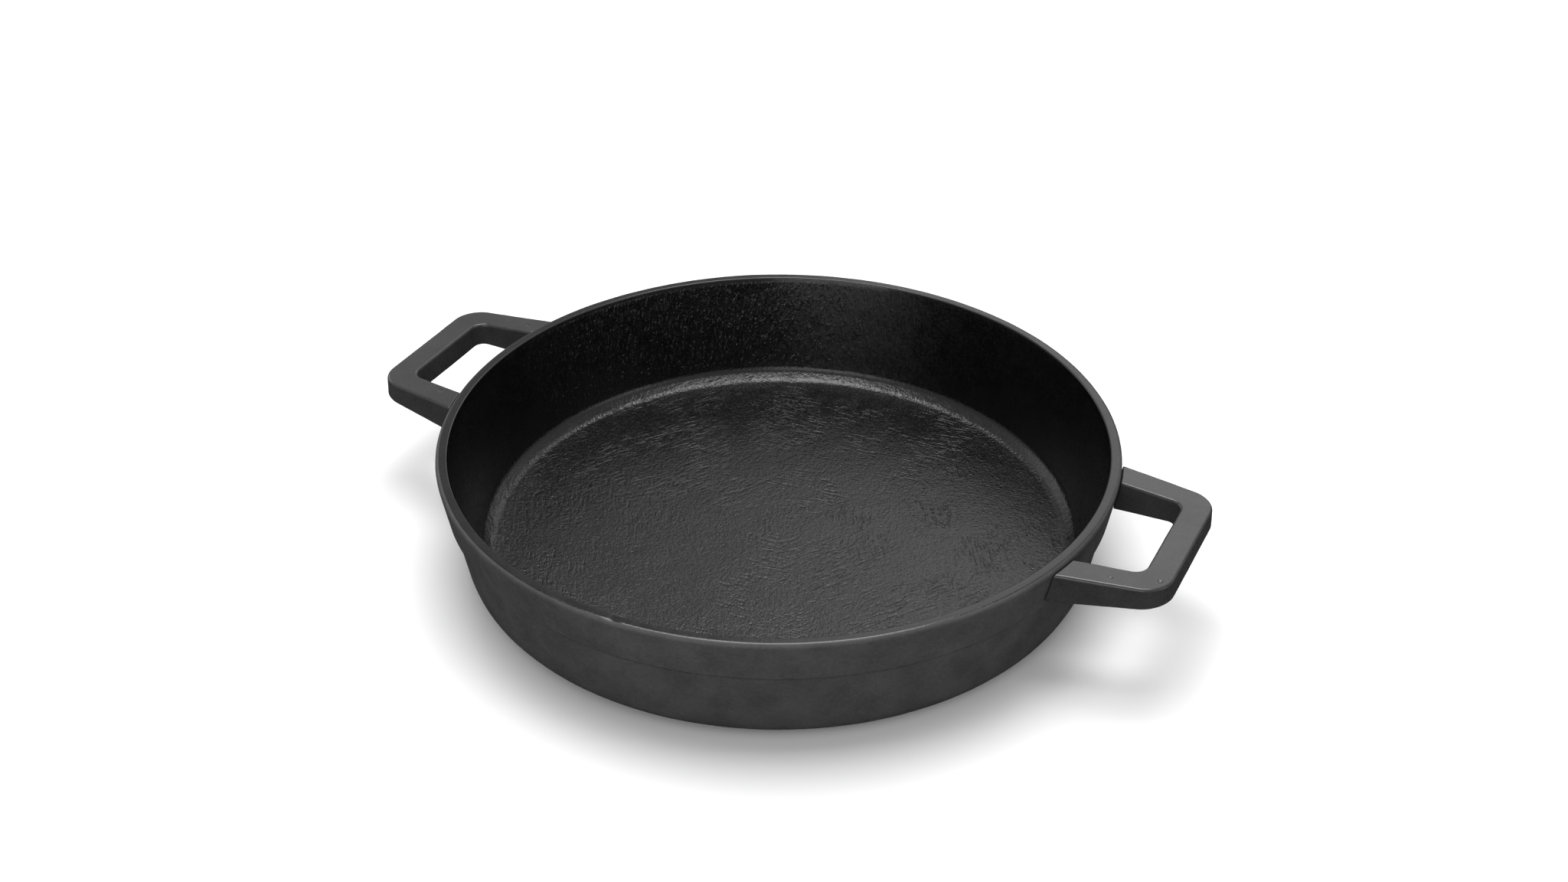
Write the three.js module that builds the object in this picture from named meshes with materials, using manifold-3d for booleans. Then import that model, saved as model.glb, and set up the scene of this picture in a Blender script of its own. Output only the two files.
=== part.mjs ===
// Round two-handled cast iron skillet: a deep pan body with a flat floor, sloping walls and a raised belt
// under the rim, and two loop handles whose ends follow the wall. Millimetres, +Z up. The origin is the
// centre of the underside and the handles reach out along +X and -X.

import * as THREE from 'three';
import { mergeVertices } from 'three/addons/utils/BufferGeometryUtils.js';
import Module from 'manifold-3d';

// Pan body. A draft is the radius that a wall loses for each millimetre down.
const RIM_RADIUS = 140;
const PAN_DEPTH = 51.8;
const RIM_WIDTH = 5;
const RIM_EDGE_RADIUS = 0.7;
const FLOOR_THICKNESS = 4.4;
const BELT_HEIGHT = 17.6;
const BELT_DRAFT = 0.174;
const BELT_STEP_HEIGHT = 3.2;
const BELT_STEP_DEPTH = 1.4;
const WALL_DRAFT = 0.18;
const BASE_CORNER_RADIUS = 10.7;
const INSIDE_DRAFT = 0.237;

// The sloping band that joins the inside wall to the floor, rounded where it meets each of them.
const COVE_WIDTH = 4.85;
const COVE_HEIGHT = 3.75;
const COVE_TOP_RADIUS = 5;
const COVE_FOOT_RADIUS = 4;

// Underside: a shallow recess leaves a foot ring for the pan to stand on.
const RECESS_DEPTH = 0.8;
const RECESS_SLOPE_WIDTH = 2.4;
const FOOT_RING_WIDTH = 14;

// Handles. Widths are measured at the top face. A taper is what each side runs in for each millimetre out.
const HANDLE_REACH = 35;
const HANDLE_WIDTH = 80.8;
const HANDLE_TAPER = 0.174;
const HANDLE_TOP_DROP = 1.45;
const HANDLE_ROOT_THICKNESS = 11.6;
const HANDLE_TIP_THICKNESS = 8;
const ARM_WIDTH = 12.2;
const OPENING_TAPER = 0.125;
const BAR_WIDTH = 11.3;
const HANDLE_CORNER_RADIUS = 12.5;
const OPENING_CORNER_RADIUS = 6;
const HANDLE_EDGE_BEVEL = 0.6;
const OUTSIDE_DRAFT = 0.4;
const OPENING_DRAFT = 1.9;

// Clearance between each handle's end and the wall that it meets.
const HANDLE_CLEARANCE = 0.3;

// Fineness of the faceted surfaces.
const RING_SEGMENTS = 96;
const FILLET_SEGMENTS = 7;
const COVE_SEGMENTS = 4;
const EDGE_SEGMENTS = 3;
const CORNER_SEGMENTS = 8;

const wasm = await Module();
wasm.setup();

// Turns a three.js geometry into a solid that can be cut.
function toSolid(geometry) {
  const bare = geometry.clone();
  bare.deleteAttribute('normal');
  bare.deleteAttribute('uv');
  const merged = mergeVertices(bare);
  return new wasm.Manifold(new wasm.Mesh({
    numProp: 3,
    vertProperties: new Float32Array(merged.attributes.position.array),
    triVerts: new Uint32Array(merged.index.array),
  }));
}

// Turns a solid back into a three.js geometry.
function toGeometry(solid) {
  const mesh = solid.getMesh();
  const geometry = new THREE.BufferGeometry();
  geometry.setAttribute('position', new THREE.BufferAttribute(mesh.vertProperties, mesh.numProp));
  geometry.setIndex(new THREE.BufferAttribute(mesh.triVerts, 1));
  geometry.computeVertexNormals();
  return geometry;
}

// The points of an open outline whose corners are rounded by arcs. Each corner is [x, y, radius, segments].
function roundedOutline(corners) {
  const points = [];
  corners.forEach(([x, y, radius, segments], i) => {
    const corner = new THREE.Vector2(x, y);
    if (!radius) {
      points.push(corner);
      return;
    }
    const before = new THREE.Vector2(...corners[i - 1]).sub(corner).normalize();
    const after = new THREE.Vector2(...corners[i + 1]).sub(corner).normalize();
    const halfAngle = Math.acos(before.dot(after)) / 2;
    const middle = before.clone().add(after).normalize();
    const centre = middle.multiplyScalar(radius / Math.sin(halfAngle)).add(corner);
    const tangent = radius / Math.tan(halfAngle);
    const start = before.multiplyScalar(tangent).add(corner).sub(centre);
    const turn = Math.sign(start.cross(corner.clone().sub(centre))) * (Math.PI - 2 * halfAngle);
    for (let k = 0; k <= segments; k += 1) {
      points.push(start.clone().rotateAround(new THREE.Vector2(), turn * k / segments).add(centre));
    }
  });
  return points;
}

// Revolves an outline of (radius, height) points about the Z axis.
function revolve(points) {
  return new THREE.LatheGeometry(points, RING_SEGMENTS).rotateX(Math.PI / 2);
}

// Outside radii of the pan body at a height above the underside.
function beltRadius(height) {
  return RIM_RADIUS - BELT_DRAFT * (PAN_DEPTH - height);
}

function lowerWallRadius(height) {
  const stepFoot = PAN_DEPTH - BELT_HEIGHT - BELT_STEP_HEIGHT;
  const belowBelt = beltRadius(stepFoot) - BELT_STEP_DEPTH;
  return belowBelt - WALL_DRAFT * (stepFoot - height);
}

// Corners of the outside wall from the base up to the rim, moved out by a clearance.
function outsideWall(clearance) {
  const stepTop = PAN_DEPTH - BELT_HEIGHT;
  const stepFoot = stepTop - BELT_STEP_HEIGHT;
  return [
    [lowerWallRadius(0) + clearance, 0, BASE_CORNER_RADIUS, FILLET_SEGMENTS],
    [lowerWallRadius(stepFoot) + clearance, stepFoot],
    [beltRadius(stepTop) + clearance, stepTop],
  ];
}

function panBody() {
  const coveTop = FLOOR_THICKNESS + COVE_HEIGHT;
  const coveRadius = RIM_RADIUS - RIM_WIDTH - INSIDE_DRAFT * (PAN_DEPTH - coveTop);
  const footRadius = lowerWallRadius(0) - BASE_CORNER_RADIUS;
  const recessRadius = footRadius - FOOT_RING_WIDTH;
  const corners = [
    [0, RECESS_DEPTH],
    [recessRadius, RECESS_DEPTH],
    [recessRadius + RECESS_SLOPE_WIDTH, 0],
    ...outsideWall(0),
    [RIM_RADIUS, PAN_DEPTH, RIM_EDGE_RADIUS, EDGE_SEGMENTS],
    [RIM_RADIUS - RIM_WIDTH, PAN_DEPTH, RIM_EDGE_RADIUS, EDGE_SEGMENTS],
    [coveRadius, coveTop, COVE_TOP_RADIUS, COVE_SEGMENTS],
    [coveRadius - COVE_WIDTH, FLOOR_THICKNESS, COVE_FOOT_RADIUS, COVE_SEGMENTS],
    [0, FLOOR_THICKNESS],
  ];
  return toGeometry(toSolid(revolve(roundedOutline(corners))));
}

// The space that the pan body and its clearance take, for shaping what meets the wall.
function wallClearance() {
  const corners = [
    [0, 0],
    ...outsideWall(HANDLE_CLEARANCE),
    [RIM_RADIUS + HANDLE_CLEARANCE, PAN_DEPTH],
    [0, PAN_DEPTH],
  ];
  return toSolid(revolve(roundedOutline(corners)));
}

// A trapezium with two rounded corners at its tip, from x = root out to x = tip.
function trapezium(outline, root, tip, halfWidthAt, radius) {
  const corners = [
    [root, -halfWidthAt(root)],
    [tip, -halfWidthAt(tip), radius, CORNER_SEGMENTS],
    [tip, halfWidthAt(tip), radius, CORNER_SEGMENTS],
    [root, halfWidthAt(root)],
  ];
  return outline.setFromPoints(roundedOutline(corners));
}

// One loop handle on the +X side: two arms and a bar, thinner at the tip, with drafted sides. Its outlines
// start well inside the wall, where the clearance cut shapes the ends of the arms.
function loopHandle() {
  const tip = RIM_RADIUS + HANDLE_REACH;
  const barInside = tip - BAR_WIDTH;
  const top = PAN_DEPTH - HANDLE_TOP_DROP;
  const root = RIM_RADIUS / 2;
  const outsideHalf = (x) => HANDLE_WIDTH / 2 - HANDLE_TAPER * (x - RIM_RADIUS);
  const openingHalf = (x) => HANDLE_WIDTH / 2 - ARM_WIDTH - OPENING_TAPER * (x - RIM_RADIUS);
  const outline = trapezium(new THREE.Shape(), root, tip, outsideHalf, HANDLE_CORNER_RADIUS);
  const opening = trapezium(
    new THREE.Path(), root + ARM_WIDTH, barInside, openingHalf, OPENING_CORNER_RADIUS);
  outline.holes.push(opening);
  const slab = new THREE.ExtrudeGeometry(outline, {
    depth: 1,
    bevelThickness: HANDLE_EDGE_BEVEL,
    bevelSize: HANDLE_EDGE_BEVEL,
    bevelOffset: -HANDLE_EDGE_BEVEL,
    bevelSegments: 1,
  });

  // The slab's lower half drops to the sloping underside and spreads by the drafts.
  const position = slab.attributes.position;
  const vertex = new THREE.Vector3();
  for (let i = 0; i < position.count; i += 1) {
    vertex.fromBufferAttribute(position, i);
    if (vertex.z > 1 / 2) {
      vertex.z += top - 1 - HANDLE_EDGE_BEVEL;
    } else {
      const { x, y } = vertex;
      const armMiddle = (outsideHalf(x) + openingHalf(x)) / 2;
      const outside = x > (barInside + tip) / 2 || Math.abs(y) > armMiddle;
      const spread = outside ? OUTSIDE_DRAFT : -OPENING_DRAFT;
      const thickness = THREE.MathUtils.mapLinear(
        x, RIM_RADIUS, tip, HANDLE_ROOT_THICKNESS, HANDLE_TIP_THICKNESS);
      vertex.z += top - thickness + HANDLE_EDGE_BEVEL;
      vertex.y += Math.sign(y) * spread;
      vertex.x += x > RIM_RADIUS ? spread : 0;
    }
    position.setXYZ(i, vertex.x, vertex.y, vertex.z);
  }
  return toGeometry(toSolid(slab).subtract(wallClearance()));
}

function castIron(color, roughness) {
  return new THREE.MeshStandardMaterial({ color, roughness, metalness: 0.6 });
}

function addPiece(group, name, geometry, material) {
  const mesh = new THREE.Mesh(geometry, material);
  mesh.name = name;
  group.add(mesh);
  return mesh;
}

const skillet = new THREE.Group();
addPiece(skillet, 'pan_body', panBody(), castIron(0x1b1b1c, 0.55));
addPiece(skillet, 'right_handle', loopHandle(), castIron(0x2b2b2c, 0.6));
const leftHandle = addPiece(skillet, 'left_handle', loopHandle(), castIron(0x2b2b2c, 0.6));
leftHandle.rotation.z = Math.PI;

export default skillet;
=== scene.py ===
"""A round cast iron skillet with two loop handles, on a pale floor under soft studio light.

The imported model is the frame. The pan body and both handles are rebuilt here as fine meshes in the same
places, with softer edges and the uneven surface, dents and grain of a seasoned casting. Lengths are in
millimetres until a mesh is made.
"""

import math

import bmesh
import bpy
import numpy as np
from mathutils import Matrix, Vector, noise


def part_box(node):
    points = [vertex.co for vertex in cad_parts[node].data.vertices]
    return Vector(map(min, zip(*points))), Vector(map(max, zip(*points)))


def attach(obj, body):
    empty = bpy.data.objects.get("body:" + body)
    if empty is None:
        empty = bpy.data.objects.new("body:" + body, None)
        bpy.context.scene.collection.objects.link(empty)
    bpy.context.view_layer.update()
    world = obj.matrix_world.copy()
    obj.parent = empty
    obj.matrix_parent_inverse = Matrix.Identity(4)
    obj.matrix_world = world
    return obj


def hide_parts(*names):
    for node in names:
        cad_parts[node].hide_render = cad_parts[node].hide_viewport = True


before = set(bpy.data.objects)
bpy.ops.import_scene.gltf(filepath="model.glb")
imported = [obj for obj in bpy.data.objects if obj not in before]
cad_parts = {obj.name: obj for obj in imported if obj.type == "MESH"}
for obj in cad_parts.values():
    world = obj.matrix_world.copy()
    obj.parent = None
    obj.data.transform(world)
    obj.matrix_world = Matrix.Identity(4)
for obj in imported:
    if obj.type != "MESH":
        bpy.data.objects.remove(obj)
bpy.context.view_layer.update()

MM = 0.001

# Sizes that the frame gives.
BODY_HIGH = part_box("pan_body")[1] / MM
GRIP_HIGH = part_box("right_handle")[1] / MM
DEPTH = BODY_HIGH.z
GRIP_TOP = GRIP_HIGH.z

# Pan body. A draft is the radius that a wall loses for each millimetre down. The base radius is where the
# lower wall's line meets the plane that the pan stands on.
RIM_RADIUS = 140
RIM_WIDTH = 5
RIM_OUTER_EDGE_RADIUS = 1.9
RIM_INNER_EDGE_RADIUS = 0.7
FLOOR_TOP = 4.4
BELT_HEIGHT = 17.3
BELT_DRAFT = 0.174
BELT_STEP_HEIGHT = 1.9
BELT_EDGE_RADIUS = 0.9
BELT_FOOT_RADIUS = 2.2
BASE_RADIUS = 129.4
WALL_DRAFT = 0.18
BASE_CORNER_RADIUS = 10.7
INSIDE_DRAFT = 0.237

# The sloping band that joins the inside wall to the floor, rounded where it meets each of them.
COVE_WIDTH = 4.85
COVE_HEIGHT = 3.75
COVE_TOP_RADIUS = 5
COVE_FOOT_RADIUS = 4

# Underside: a shallow recess leaves a foot ring for the pan to stand on.
RECESS_DEPTH = 0.8
RECESS_SLOPE_WIDTH = 2.4
FOOT_RING_WIDTH = 14
RECESS_EDGE_RADIUS = 3

# Handles. A taper is what each side runs in for each millimetre out, a draft is what a side spreads by below.
GRIP_DRAFT = 0.4
GRIP_TIP = GRIP_HIGH.x - GRIP_DRAFT
GRIP_WIDTH = 80.8
GRIP_TAPER = 0.174
GRIP_ROOT_THICKNESS = 11.6
GRIP_TIP_THICKNESS = 8
ARM_WIDTH = 12.2
OPENING_TAPER = 0.125
OPENING_DRAFT = 1.9
BAR_WIDTH = 11.3
GRIP_CORNER_RADIUS = 12.5
OPENING_CORNER_RADIUS = 6
TOP_EDGE_RADIUS = 1.3
LOWER_EDGE_RADIUS = 0.5
ROOT_EDGE_RADIUS = 0.5
CLEARANCE = 0.3

# The cast surface. A wave is (depth, size), and a dent is (centre, radius, depth).
PAN_WAVES = [(0.10, 30), (0.05, 9)]
GRIP_WAVES = [(0.06, 14), (0.04, 4)]
FIRST_WAVE_SEED = 11
RIM_NICK = ((1.3, -138.2, 51.8), 2.4, 0.5)
FLOOR_SCRATCH = ((-11.7, -0.2, 4.4), 1.6, 0.15)
RIGHT_DINTS = [((153.2, -33.8, 50.3), 1.3, 0.35), ((170.4, -28.0, 50.3), 1.6, 0.4)]
LEFT_DINTS = [((-141.8, 33.1, 50.3), 1.3, 0.35), ((-145.2, -31.3, 50.3), 1.5, 0.35)]

# Fineness of the pan: points round it, spacing along its section, and points in each arc.
RING_SEGMENTS = 448
OUTSIDE_SPACING = 2.4
INSIDE_SPACING = 1.9
RECESS_ARC = 4
BASE_ARC = 14
BELT_FOOT_ARC = 6
BELT_EDGE_ARC = 5
RIM_OUTER_ARC = 9
RIM_INNER_ARC = 6
COVE_TOP_ARC = 12
COVE_FOOT_ARC = 10

# Fineness of the handles: spacing along the loop, the rough turn of its corners in radians, spaces on each
# face of an arm, points in each edge's arc, and the shrunk rings that close an arm's end.
GRIP_STEP = 0.5
CORNER_TURN = 1.3
SPACES_ACROSS = 22
SPACES_UP = 16
EDGE_ARC = 6
END_RINGS = (0.25, 0.5, 0.75, 0.9)
END_FIT_ROUNDS = 6


def unit(vector):
    return vector / np.linalg.norm(vector)


def arc_at(corner, before, after, radius, count):
    """Points of an arc that rounds a corner, and the directions from the arc's centre to them."""
    to_before, to_after = unit(before - corner), unit(after - corner)
    half = math.acos(np.clip(to_before @ to_after, -1, 1)) / 2
    centre = corner + unit(to_before + to_after) * radius / math.sin(half)
    start = unit(corner + to_before * radius / math.tan(half) - centre)
    end = unit(corner + to_after * radius / math.tan(half) - centre)
    sweep = math.pi - 2 * half
    share = np.linspace(0, 1, count)[:, None]
    directions = (np.sin((1 - share) * sweep) * start + np.sin(share * sweep) * end) / math.sin(sweep)
    return centre + directions * radius, directions


def rounded_profile(corners, spacing):
    """An open outline with rounded corners. Each corner is (across, up, radius, arc points)."""
    places = [np.array(corner[:2], float) for corner in corners]
    knots = []
    for i, (across, up, radius, count) in enumerate(corners):
        if radius:
            knots.extend(arc_at(places[i], places[i - 1], places[i + 1], radius, count)[0])
        else:
            knots.append(places[i])
    points = [knots[0]]
    for start, end in zip(knots, knots[1:]):
        pieces = max(1, round(np.linalg.norm(end - start) / spacing))
        points.extend(start + (end - start) * k / pieces for k in range(1, pieces + 1))
    return np.array(points)


def belt_radius(height):
    return RIM_RADIUS - BELT_DRAFT * (DEPTH - height)


def ripple(point, size, seed):
    """A smooth wave from about -1 to 1 whose bumps are size millimetres across."""
    return noise.noise(Vector(point) / size + Vector((seed, seed, seed)))


def roughen(points, normals, waves, dents):
    """Moves points along their normals. A wave is (depth, size), a dent is (centre, radius, depth)."""
    moved = np.zeros(len(points))
    for seed, (depth, size) in enumerate(waves, start=FIRST_WAVE_SEED):
        moved += depth * np.array([ripple(point, size, seed) for point in points])
    for centre, radius, depth in dents:
        away = np.linalg.norm(points - np.array(centre), axis=1) / radius
        moved -= depth * np.clip(1 - away ** 2, 0, None) ** 2
    return points + normals * moved[:, None]


def make_piece(name, points, faces, materials, body, replaced, waves, dents):
    """A closed piece with a cast surface, which rides on a body and stands for a CAD node."""
    mesh = bpy.data.meshes.new(name)
    mesh.from_pydata([tuple(point) for point in points], [], faces)
    tool = bmesh.new()
    tool.from_mesh(mesh)
    bmesh.ops.recalc_face_normals(tool, faces=tool.faces)
    tool.to_mesh(mesh)
    tool.free()
    normals = np.zeros(len(points) * 3, np.float32)
    mesh.vertex_normals.foreach_get("vector", normals)
    rough = roughen(points, normals.reshape(-1, 3), waves, dents) * MM
    low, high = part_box(replaced)
    rough = np.clip(rough, np.array(low), np.array(high))
    mesh.vertices.foreach_set("co", rough.astype(np.float32).ravel())
    mesh.shade_smooth()
    mesh.update()
    piece = bpy.data.objects.new(name, mesh)
    bpy.context.scene.collection.objects.link(piece)
    for material in materials:
        mesh.materials.append(material)
    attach(piece, body)
    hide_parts(replaced)
    return piece


# ---------------------------------------------------------------- pan body

def body_profile():
    """The half section of the pan body, from the centre of the underside round to the centre of the floor."""
    step_top = DEPTH - BELT_HEIGHT
    step_foot = step_top - BELT_STEP_HEIGHT
    recess_radius = BASE_RADIUS - BASE_CORNER_RADIUS - FOOT_RING_WIDTH
    cove_top = FLOOR_TOP + COVE_HEIGHT
    cove_radius = RIM_RADIUS - RIM_WIDTH - INSIDE_DRAFT * (DEPTH - cove_top)
    outside = rounded_profile([
        (0, RECESS_DEPTH, 0, 0),
        (recess_radius, RECESS_DEPTH, RECESS_EDGE_RADIUS, RECESS_ARC),
        (recess_radius + RECESS_SLOPE_WIDTH, 0, RECESS_EDGE_RADIUS, RECESS_ARC),
        (BASE_RADIUS, 0, BASE_CORNER_RADIUS, BASE_ARC),
        (BASE_RADIUS + WALL_DRAFT * step_foot, step_foot, BELT_FOOT_RADIUS, BELT_FOOT_ARC),
        (belt_radius(step_top), step_top, BELT_EDGE_RADIUS, BELT_EDGE_ARC),
        (RIM_RADIUS, DEPTH, RIM_OUTER_EDGE_RADIUS, RIM_OUTER_ARC),
        (RIM_RADIUS - RIM_WIDTH / 2, DEPTH, 0, 0),
    ], OUTSIDE_SPACING)
    inside = rounded_profile([
        (RIM_RADIUS - RIM_WIDTH / 2, DEPTH, 0, 0),
        (RIM_RADIUS - RIM_WIDTH, DEPTH, RIM_INNER_EDGE_RADIUS, RIM_INNER_ARC),
        (cove_radius, cove_top, COVE_TOP_RADIUS, COVE_TOP_ARC),
        (cove_radius - COVE_WIDTH, FLOOR_TOP, COVE_FOOT_RADIUS, COVE_FOOT_ARC),
        (0, FLOOR_TOP, 0, 0),
    ], INSIDE_SPACING)
    return outside, inside[1:]


def lathe(profile):
    """Revolves an outline that starts and ends on the axis. Gives points and faces."""
    turns = np.arange(RING_SEGMENTS) * 2 * math.pi / RING_SEGMENTS
    rings = profile[1:-1]
    points = np.concatenate([
        np.stack([r * np.cos(turns), r * np.sin(turns), np.full(RING_SEGMENTS, z)], axis=1)
        for r, z in rings])
    points = np.concatenate([points, [[0, 0, profile[0][1]], [0, 0, profile[-1][1]]]])
    bottom, top = len(points) - 2, len(points) - 1
    last = (len(rings) - 1) * RING_SEGMENTS
    faces = []
    for k in range(RING_SEGMENTS):
        after = (k + 1) % RING_SEGMENTS
        faces.append((bottom, after, k))
        for start in range(0, last, RING_SEGMENTS):
            faces.append((start + k, start + after, start + RING_SEGMENTS + after, start + RING_SEGMENTS + k))
        faces.append((last + k, last + after, top))
    return points, faces


# ---------------------------------------------------------------- handles

def section(low_inner, low_outer, high_outer, high_inner):
    """A ring round an arm's cross section: (across, up) points with rounded edges, and outward directions."""
    corners = [np.array(corner, float) for corner in (low_inner, low_outer, high_outer, high_inner)]
    radii = (LOWER_EDGE_RADIUS, LOWER_EDGE_RADIUS, TOP_EDGE_RADIUS, TOP_EDGE_RADIUS)
    sides = (SPACES_ACROSS, SPACES_UP, SPACES_ACROSS, SPACES_UP)
    points, directions = [], []
    arcs = [
        arc_at(corners[i], corners[i - 1], corners[(i + 1) % 4], radii[i], EDGE_ARC) for i in range(4)]
    for i, (arc, outward) in enumerate(arcs):
        points.extend(arc)
        directions.extend(outward)
        next_arc, next_outward = arcs[(i + 1) % 4]
        for k in range(1, sides[i]):
            share = k / sides[i]
            points.append(arc[-1] * (1 - share) + next_arc[0] * share)
            directions.append(outward[-1])
    return np.array(points), np.array(directions)


def grip_thickness(x):
    share = (x - RIM_RADIUS) / (GRIP_TIP - RIM_RADIUS)
    return GRIP_ROOT_THICKNESS + (GRIP_TIP_THICKNESS - GRIP_ROOT_THICKNESS) * share


def outside_half(x):
    return GRIP_WIDTH / 2 - GRIP_TAPER * (x - RIM_RADIUS)


def opening_half(x):
    return GRIP_WIDTH / 2 - ARM_WIDTH - OPENING_TAPER * (x - RIM_RADIUS)


def half_path(end, half_width, radius):
    """Half of a handle outline, past its side's line: the corner's arc and the middle of the end."""
    root = np.array([RIM_RADIUS, half_width(RIM_RADIUS)])
    corner = np.array([end, half_width(end)])
    middle = np.array([end, 0.0])
    arc, _ = arc_at(corner, root, middle, radius, round(GRIP_CORNER_RADIUS * CORNER_TURN / GRIP_STEP))
    return arc, middle


def section_at(inner, outer):
    """The cross section between a point of the opening's outline and one of the outside outline."""
    width = np.linalg.norm(outer - inner)
    return section(
        (-OPENING_DRAFT, GRIP_TOP - grip_thickness(inner[0])),
        (width + GRIP_DRAFT, GRIP_TOP - grip_thickness(outer[0])),
        (width, GRIP_TOP),
        (0, GRIP_TOP))


def station(inner, outer):
    """The section's ring in space."""
    ring, _ = section_at(inner, outer)
    across = unit(outer - inner)
    return np.column_stack([inner + ring[:, :1] * across, ring[:, 1]])


def root_ring(inset, back, shrink=1.0):
    """A ring on the face that meets the wall: inset along its outline, set back, and shrunk to its middle."""
    inner = np.array([RIM_RADIUS, opening_half(RIM_RADIUS)])
    outer = np.array([RIM_RADIUS, outside_half(RIM_RADIUS)])
    ring, directions = section_at(inner, outer)
    ring = ring - directions * inset
    ring = ring.mean(axis=0) + (ring - ring.mean(axis=0)) * shrink
    share = np.clip(ring[:, 0] / ARM_WIDTH, 0, 1)
    taper = OPENING_TAPER + (GRIP_TAPER - OPENING_TAPER) * share
    x = np.full(len(ring), float(RIM_RADIUS))
    for _ in range(END_FIT_ROUNDS):
        y = inner[1] + ring[:, 0] - taper * (x - RIM_RADIUS)
        z = GRIP_TOP - (GRIP_TOP - ring[:, 1]) * grip_thickness(x) / GRIP_ROOT_THICKNESS
        x = np.sqrt((belt_radius(z) + CLEARANCE) ** 2 - y ** 2) + back
    return np.column_stack([x, y, z])


def half_handle():
    """The rings of half a handle, from the wall round to the middle of the bar."""
    outer_arc, outer_middle = half_path(GRIP_TIP, outside_half, GRIP_CORNER_RADIUS)
    inner_arc, inner_middle = half_path(
        GRIP_TIP - BAR_WIDTH, opening_half, OPENING_CORNER_RADIUS)
    rings = [root_ring(ROOT_EDGE_RADIUS, 0, shrink) for shrink in END_RINGS]
    for turn in np.linspace(math.pi / 2, 0, EDGE_ARC):
        rings.append(root_ring(
            ROOT_EDGE_RADIUS * (1 - math.cos(turn)), ROOT_EDGE_RADIUS * (1 - math.sin(turn))))
    arm_end = station(inner_arc[0], outer_arc[0])
    arm_start = rings[-1]
    pieces = round(np.linalg.norm(arm_end[0] - arm_start[0]) / GRIP_STEP)
    rings += [arm_start + (arm_end - arm_start) * k / pieces for k in range(1, pieces)]
    rings += [station(inner, outer) for inner, outer in zip(inner_arc, outer_arc)]
    pieces = round(outer_arc[-1][1] / GRIP_STEP)
    for k in range(1, pieces + 1):
        share = k / pieces
        rings.append(station(
            inner_arc[-1] + (inner_middle - inner_arc[-1]) * share,
            outer_arc[-1] + (outer_middle - outer_arc[-1]) * share))
    return rings


def loop_handle(side):
    """Points and faces of a whole handle, on the +X side or the -X side."""
    half = half_handle()
    mirrored = [ring * (1, -1, 1) for ring in reversed(half[:-1])]
    rings = half + mirrored
    count = len(rings[0])
    points = np.concatenate(rings + [[rings[0].mean(axis=0)], [rings[-1].mean(axis=0)]])
    points[:, :2] *= side
    first, last = len(points) - 2, len(points) - 1
    start = (len(rings) - 1) * count
    faces = []
    for j in range(count):
        after = (j + 1) % count
        faces.append((first, after, j))
        faces.append((last, start + j, start + after))
        for k in range(len(rings) - 1):
            a, b = k * count, (k + 1) * count
            faces.append((a + j, a + after, b + after, b + j))
    return points, faces


# ---------------------------------------------------------------- materials

# Shades and gloss. A range is (from, to), a share is between 0 and 1, and sizes are in millimetres.
BLACK = (0.0008, 0.0008, 0.0008, 1)
CHARCOAL = (0.0022, 0.0022, 0.0022, 1)
DIM_GREY = (0.022, 0.022, 0.022, 1)
DARK_GREY = (0.034, 0.034, 0.034, 1)
GREY = (0.055, 0.055, 0.055, 1)
IRON_IOR = 1.5
BLOTCH_SIZE = 14
BLOTCH_SHARE = 0.55
BLOTCH_DETAIL = 4.0
SPECKLE_SIZE = 1.1
SPECKLE_SHARE = 0.45
SPECKLE_DETAIL = 3.0
SHADE_RANGE = (0.3, 0.7)
GLOSS_SPOT_SIZE = 1.4
GLOSS_SPOT_SHARE = 0.6
GLOSS_PATCH_SIZE = 6
GLOSS_PATCH_SHARE = 0.4
GLOSS_PATCH_DETAIL = 3.0
GLOSS_RANGE = (0.36, 0.62)
OUTSIDE_ROUGHNESS = (0.48, 0.58)
INSIDE_ROUGHNESS = (0.18, 0.30)
HANDLE_ROUGHNESS = (0.16, 0.24)
WORN_ROUGHNESS = 0.22

# A pit's smallest reach against its size, and the share of its reach within which it is deepest.
SMALLEST_PIT = 0.3
PIT_BOTTOM = 0.2

# Outside and handles. A grain is (size, depth), and pits are (spacing, size, share of the cells).
OUTSIDE_GRAINS = [(4.5, 0.10), (0.9, 0.03)]
OUTSIDE_PITS = (9, 0.8, 0.25)
OUTSIDE_PIT_DEPTH = 0.10
HANDLE_GRAINS = [(6, 0.05), (0.8, 0.012)]
HANDLE_PITS = (7, 0.7, 0.3)
HANDLE_PIT_DEPTH = 0.08

# Inside: heights between which each finish comes in, in millimetres.
WALL_ZONE = (9, 13)
FLOOR_ZONE = (7, 4.8)
BELOW_RIM_ZONE = (50.5, 49)
FLOOR_EDGE_ZONE = (4.6, 5.6)

# Sides of the pan with a finish of their own: degrees from +X, then the cosines where it starts and is full.
WORN_SIDE = (137, 0.72, 0.97)
WORN_SHARE = 0.8
UNWORN_SHARE = 0.2
SMOOTH_SIDE = (98, 0.94, 0.999)

# Inside marks. Lines and strokes are noise above a level, drawn out along their length.
MARK_RANGE = (0.5, 0.68)
LINE_SIZE = 1.0
LINE_STRETCH = (1, 1, 0.06)
SPECKS = (2.6, 0.7, 0.5)
FLOOR_PITS = (3.2, 0.7, 0.35)
CLUSTER_SIZE = 26
CLUSTER_RANGE = (0.42, 0.6)
STROKE_SIZE = 1.4
STROKE_STRETCH = (0.2, 1, 1)
STROKE_TURNS = (0, 60, 120)
STROKE_BLEND = (-0.2, 0.8)
NEAR_ZERO = 1e-6

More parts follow.
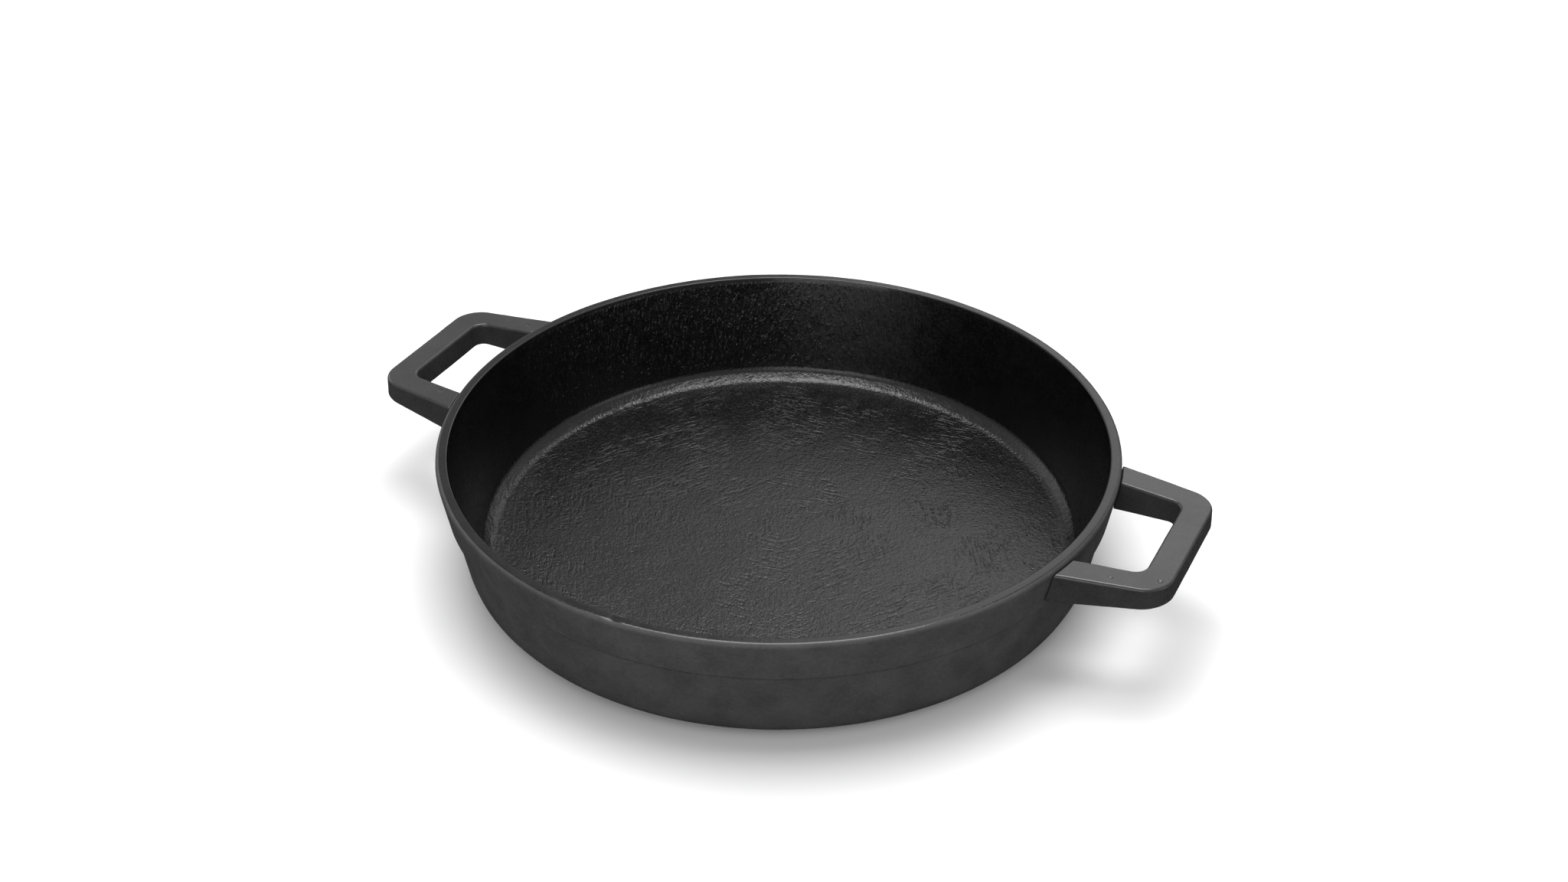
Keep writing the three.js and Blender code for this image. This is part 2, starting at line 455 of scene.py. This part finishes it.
# Inside bumps: sand and ripples are (size, depth). The wall loses a share of their depth, the scored wall gets
# some of it back, and the floor's edge keeps a share.
SAND = (0.9, 0.22)
RIPPLES = (1.7, 0.22)
MARK_DEPTH = 0.16
FLOOR_PIT_DEPTH = 0.12
SAND_LOST_ON_WALL = 0.75
SAND_ON_SCORED_WALL = 0.4
SAND_AT_FLOOR_EDGE = 0.5

# Inside gloss: what each mark adds to the wear, and what the wall and its patch add. More wear is rougher.
LINE_WEAR = 0.45
SPECK_WEAR = 0.5
STROKE_WEAR = 0.3
PATCH_WEAR = 0.45
WALL_WEAR = -0.18


def node(tree, kind, inputs=None, **settings):
    """Adds a shader node. Each input is a value, or the output of another node."""
    made = tree.nodes.new("ShaderNode" + kind)
    for key, value in settings.items():
        setattr(made, key, value)
    for key, value in (inputs or {}).items():
        if isinstance(value, bpy.types.NodeSocket):
            tree.links.new(value, made.inputs[key])
        else:
            made.inputs[key].default_value = value
    return made


def calculate(tree, operation, first, second=0.0, third=0.0):
    return node(tree, "Math", {0: first, 1: second, 2: third}, operation=operation).outputs[0]


def times(tree, first, *others):
    for other in others:
        first = calculate(tree, "MULTIPLY", first, other)
    return first


def ramp(tree, value, start, end, low=0.0, high=1.0):
    """A smooth step of a value from one level to another."""
    return node(tree, "MapRange", {
        "Value": value, "From Min": start, "From Max": end, "To Min": low, "To Max": high,
    }, interpolation_type="SMOOTHSTEP").outputs[0]


def grain(tree, place, size, detail=2.0, stretch=(1, 1, 1)):
    """Noise from about 0 to 1 whose spots are size millimetres across."""
    scale = [factor / (size * MM) for factor in stretch]
    scaled = node(tree, "VectorMath", {0: place, 1: scale}, operation="MULTIPLY").outputs[0]
    return node(tree, "TexNoise", {"Vector": scaled, "Scale": 1.0, "Detail": detail}).outputs["Fac"]


def pits(tree, place, spacing, size, share):
    """Round pits: 1 in the middle of a pit and 0 outside. A share of the cells has one."""
    cells = node(tree, "TexVoronoi", {"Vector": place, "Scale": 1 / (spacing * MM), "Randomness": 1.0})
    picked = node(tree, "SeparateColor", {"Color": cells.outputs["Color"]})
    has_pit = calculate(tree, "LESS_THAN", picked.outputs[0], share)
    reach = calculate(tree, "MULTIPLY", picked.outputs[1], size / spacing)
    reach = calculate(tree, "ADD", reach, SMALLEST_PIT * size / spacing)
    bowl = ramp(tree, calculate(tree, "DIVIDE", cells.outputs["Distance"], reach), 1.0, PIT_BOTTOM)
    return times(tree, bowl, has_pit)


def layered_bump(tree, layers):
    """Bump of several heights. A layer is (height output, depth in millimetres)."""
    normal = None
    for height, depth in layers:
        inputs = {"Height": height, "Distance": depth * MM, "Strength": 1.0}
        if normal is not None:
            inputs["Normal"] = normal
        normal = node(tree, "Bump", inputs).outputs["Normal"]
    return normal


def cast_iron(name, dark, light, roughness, layers_of):
    """Seasoned cast iron: blotches and speckles of two shades, uneven gloss, and the given bump and wear."""
    material = bpy.data.materials.new(name)
    material.use_nodes = True
    tree = material.node_tree
    tree.nodes.clear()
    place = node(tree, "TexCoord").outputs["Object"]
    blotch = grain(tree, place, BLOTCH_SIZE, BLOTCH_DETAIL)
    speckle = grain(tree, place, SPECKLE_SIZE, SPECKLE_DETAIL)
    mixed = calculate(tree, "MULTIPLY_ADD", speckle, SPECKLE_SHARE, times(tree, blotch, BLOTCH_SHARE))
    shade = ramp(tree, mixed, *SHADE_RANGE)
    color = node(tree, "Mix", {"Factor": shade, 6: dark, 7: light}, data_type="RGBA").outputs[2]
    layers, wear = layers_of(tree, place)
    spots = grain(tree, place, GLOSS_SPOT_SIZE)
    patches = grain(tree, place, GLOSS_PATCH_SIZE, GLOSS_PATCH_DETAIL)
    uneven = calculate(tree, "MULTIPLY_ADD", spots, GLOSS_SPOT_SHARE, times(tree, patches, GLOSS_PATCH_SHARE))
    gloss = ramp(tree, uneven, *GLOSS_RANGE, *roughness)
    rough = calculate(tree, "MULTIPLY_ADD", wear, WORN_ROUGHNESS, gloss)
    shader = node(tree, "BsdfPrincipled", {
        "Base Color": color, "Roughness": rough, "IOR": IRON_IOR, "Metallic": 0.0,
        "Normal": layered_bump(tree, layers),
    })
    node(tree, "OutputMaterial", {"Surface": shader.outputs[0]})
    return material


def pitted_layers(tree, place, grains, holes, depth):
    """A cast surface with grain of several sizes, and round pits that are rougher than the rest."""
    hollow = pits(tree, place, *holes)
    layers = [(grain(tree, place, size), grain_depth) for size, grain_depth in grains]
    return layers + [(times(tree, hollow, -1.0), depth)], hollow


def outside_layers(tree, place):
    return pitted_layers(tree, place, OUTSIDE_GRAINS, OUTSIDE_PITS, OUTSIDE_PIT_DEPTH)


def handle_layers(tree, place):
    return pitted_layers(tree, place, HANDLE_GRAINS, HANDLE_PITS, HANDLE_PIT_DEPTH)


def strokes(tree, place, size):
    """Short strokes that run round the pan: noise drawn out along the tangent, from three directions."""
    axes = node(tree, "SeparateXYZ", {"Vector": place})
    x, y = axes.outputs["X"], axes.outputs["Y"]
    xx, yy = times(tree, x, x), times(tree, y, y)
    around = calculate(tree, "ADD", calculate(tree, "ADD", xx, yy), NEAR_ZERO)
    cosine = calculate(tree, "DIVIDE", calculate(tree, "SUBTRACT", yy, xx), around)
    sine = calculate(tree, "DIVIDE", times(tree, x, y, -2.0), around)
    total = None
    for turn in map(math.radians, STROKE_TURNS):
        turned = node(tree, "VectorRotate", {"Vector": place, "Angle": -turn}, rotation_type="Z_AXIS")
        drawn = grain(tree, turned.outputs["Vector"], size, stretch=STROKE_STRETCH)
        across = times(tree, sine, math.sin(2 * turn))
        match = calculate(tree, "MULTIPLY_ADD", cosine, math.cos(2 * turn), across)
        part = times(tree, ramp(tree, drawn, *MARK_RANGE), ramp(tree, match, *STROKE_BLEND))
        total = part if total is None else calculate(tree, "MAXIMUM", total, part)
    return total


def towards(tree, place, angle, start, end):
    """1 on the side of the pan at an angle from +X and 0 away from it, between two cosines."""
    flat = node(tree, "VectorMath", {0: place, 1: (1, 1, 0)}, operation="MULTIPLY").outputs[0]
    outward = node(tree, "VectorMath", {0: flat}, operation="NORMALIZE").outputs[0]
    turn = math.radians(angle)
    cosine = node(tree, "VectorMath", {
        0: outward, 1: (math.cos(turn), math.sin(turn), 0)}, operation="DOT_PRODUCT").outputs["Value"]
    return ramp(tree, cosine, start, end)


def zone(tree, height, levels, low=0.0, high=1.0):
    """A smooth step between two heights in millimetres."""
    return ramp(tree, height, levels[0] * MM, levels[1] * MM, low, high)


def inside_layers(tree, place):
    """The inside: sandy floor with strokes round it, and a wall with fine upright streaks and specks."""
    height = node(tree, "SeparateXYZ", {"Vector": place}).outputs["Z"]
    on_wall = zone(tree, height, WALL_ZONE)
    on_floor = zone(tree, height, FLOOR_ZONE)
    off_rim = zone(tree, height, BELOW_RIM_ZONE)
    worn = calculate(tree, "MULTIPLY_ADD", towards(tree, place, *WORN_SIDE), WORN_SHARE, UNWORN_SHARE)
    smooth_patch = times(tree, towards(tree, place, *SMOOTH_SIDE), off_rim)
    scored = times(tree, on_wall, worn, off_rim)
    lines = ramp(tree, grain(tree, place, LINE_SIZE, stretch=LINE_STRETCH), *MARK_RANGE)
    streaks = times(tree, lines, scored)
    specks = times(tree, pits(tree, place, *SPECKS), scored)
    clusters = times(tree, ramp(tree, grain(tree, place, CLUSTER_SIZE), *CLUSTER_RANGE), on_floor)
    hatching = times(tree, strokes(tree, place, STROKE_SIZE), clusters)
    floor_pits = times(tree, pits(tree, place, *FLOOR_PITS), on_floor)

    even = calculate(tree, "SUBTRACT", 1.0, times(tree, on_wall, SAND_LOST_ON_WALL))
    even = calculate(tree, "MULTIPLY_ADD", scored, SAND_ON_SCORED_WALL, even)
    even = times(tree, even, zone(tree, height, FLOOR_EDGE_ZONE, 1.0, SAND_AT_FLOOR_EDGE))
    sand_size, sand_depth = SAND
    ripple_size, ripple_depth = RIPPLES

    line_wear, speck_wear = times(tree, scored, LINE_WEAR), times(tree, specks, SPECK_WEAR)
    wear = calculate(tree, "MULTIPLY_ADD", lines, line_wear, speck_wear)
    wear = calculate(tree, "MULTIPLY_ADD", hatching, STROKE_WEAR, wear)
    wall_wear = calculate(tree, "MULTIPLY_ADD", smooth_patch, PATCH_WEAR, WALL_WEAR)
    wear = calculate(tree, "MULTIPLY_ADD", on_wall, wall_wear, wear)
    return [
        (times(tree, grain(tree, place, ripple_size), even), ripple_depth),
        (times(tree, grain(tree, place, sand_size), even), sand_depth),
        (streaks, MARK_DEPTH),
        (specks, MARK_DEPTH),
        (times(tree, hatching, -1.0), MARK_DEPTH),
        (times(tree, floor_pits, -1.0), FLOOR_PIT_DEPTH),
    ], wear


outside_iron = cast_iron("outside_iron", DARK_GREY, GREY, OUTSIDE_ROUGHNESS, outside_layers)
inside_iron = cast_iron("inside_iron", BLACK, CHARCOAL, INSIDE_ROUGHNESS, inside_layers)
handle_iron = cast_iron("handle_iron", DIM_GREY, DARK_GREY, HANDLE_ROUGHNESS, handle_layers)

# ---------------------------------------------------------------- the three castings

outside, inside = body_profile()
body_points, body_faces = lathe(np.concatenate([outside, inside]))
pan = make_piece(
    "pan_casting", body_points, body_faces, [outside_iron, inside_iron], "root", "pan_body",
    PAN_WAVES, [RIM_NICK, FLOOR_SCRATCH])

# The inside finish runs over the rim and ends on the upper third of its outer edge.
rim_foot = DEPTH - RIM_OUTER_EDGE_RADIUS / 3
rim_start = next(i for i in range(len(outside)) if outside[i][1] > rim_foot)
bottom_centre = len(body_points) - 2
for polygon in pan.data.polygons:
    if min(polygon.vertices) >= rim_start * RING_SEGMENTS and bottom_centre not in polygon.vertices:
        polygon.material_index = 1

for name, replaced, side, dints in (
        ("right_loop", "right_handle", 1, RIGHT_DINTS), ("left_loop", "left_handle", -1, LEFT_DINTS)):
    points, faces = loop_handle(side)
    make_piece(
        name, points, faces, [handle_iron], "root", replaced, GRIP_WAVES, dints)

# ---------------------------------------------------------------- studio

# Camera: its place about the centre of the rim, and where it points, in degrees and metres.
CAMERA_AZIMUTH = 26.266
CAMERA_ELEVATION = 32.454
CAMERA_DISTANCE = 0.82381
CAMERA_TILT = 57.311
CAMERA_ROLL = -0.0075
CAMERA_HEADING = 26.097
CAMERA_LENS = 46.1055
SENSOR_WIDTH = 36
CLIP_START = 0.01

# Floor, in metres. It lies a hair under the pan.
FLOOR_SIZE = 80.0
FLOOR_DROP = 0.00005
FLOOR_COLOR = (0.9, 0.9, 0.9, 1)

# World: its light above the horizon and under it, and the heights of a direction between which it changes.
WORLD_COLOR = (1, 1, 1, 1)
WORLD_LIGHT = 0.52
WORLD_DARK = 0.04
HORIZON = (-0.02, 0.12)

# Softboxes: degrees round from the camera and up from the floor, distance and side in metres, and radiance.
SOFTBOXES = {
    "overhead_softbox": (-176, 81, 1.8, 1.2, 6.4),
    "right_softbox": (65, 27, 2.4, 1.0, 1.0),
    "front_softbox": (-20, 20, 2.4, 1.8, 1.35),
    "back_left_softbox": (-133, 23, 2.4, 1.1, 0.9),
    "back_right_softbox": (158, 38, 2.4, 1.5, 1.0),
}


def direction(azimuth, elevation):
    """A unit vector. Azimuth is seen from above, from -Y towards +X, in degrees."""
    turn, rise = math.radians(azimuth), math.radians(elevation)
    return Vector((math.sin(turn) * math.cos(rise), -math.cos(turn) * math.cos(rise), math.sin(rise)))


def studio_floor():
    """A plain pale floor, which the iron does not reflect."""
    bpy.ops.mesh.primitive_plane_add(size=FLOOR_SIZE, location=(0, 0, -FLOOR_DROP))
    floor = bpy.context.object
    floor.name = "studio_floor"
    material = bpy.data.materials.new("pale_floor")
    material.use_nodes = True
    shader = material.node_tree.nodes["Principled BSDF"]
    shader.inputs["Base Color"].default_value = FLOOR_COLOR
    shader.inputs["Roughness"].default_value = 1.0
    shader.inputs["Specular IOR Level"].default_value = 0.0
    floor.data.materials.append(material)
    floor.visible_glossy = False


def soft_light(name, azimuth, elevation, distance, size, radiance):
    """A square softbox that faces the pan."""
    data = bpy.data.lights.new(name, "AREA")
    data.shape = "SQUARE"
    data.size = size
    data.energy = radiance * math.pi * size ** 2
    light = bpy.data.objects.new(name, data)
    place = direction(azimuth, elevation)
    light.location = place * distance
    light.rotation_euler = place.to_track_quat("Z", "Y").to_euler()
    bpy.context.scene.collection.objects.link(light)


def studio():
    scene = bpy.context.scene
    world = bpy.data.worlds.new("studio_world")
    world.use_nodes = True
    background = world.node_tree.nodes["Background"]
    background.inputs["Color"].default_value = WORLD_COLOR
    around = node(world.node_tree, "TexCoord").outputs["Generated"]
    height = node(world.node_tree, "SeparateXYZ", {"Vector": around}).outputs["Z"]
    level = ramp(world.node_tree, height, *HORIZON, WORLD_DARK, WORLD_LIGHT)
    world.node_tree.links.new(level, background.inputs["Strength"])
    scene.world = world
    scene.view_settings.view_transform = "Standard"
    for name, (round_from_camera, elevation, distance, size, radiance) in SOFTBOXES.items():
        soft_light(name, CAMERA_AZIMUTH + round_from_camera, elevation, distance, size, radiance)


def studio_camera():
    data = bpy.data.cameras.new("studio_camera")
    data.lens = CAMERA_LENS
    data.sensor_width = SENSOR_WIDTH
    data.clip_start = CLIP_START
    camera = bpy.data.objects.new("studio_camera", data)
    back = direction(CAMERA_AZIMUTH, CAMERA_ELEVATION)
    camera.location = back * CAMERA_DISTANCE + Vector((0, 0, DEPTH * MM))
    camera.rotation_euler = [math.radians(angle) for angle in (CAMERA_TILT, CAMERA_ROLL, CAMERA_HEADING)]
    bpy.context.scene.collection.objects.link(camera)
    bpy.context.scene.camera = camera


studio_floor()
studio()
studio_camera()
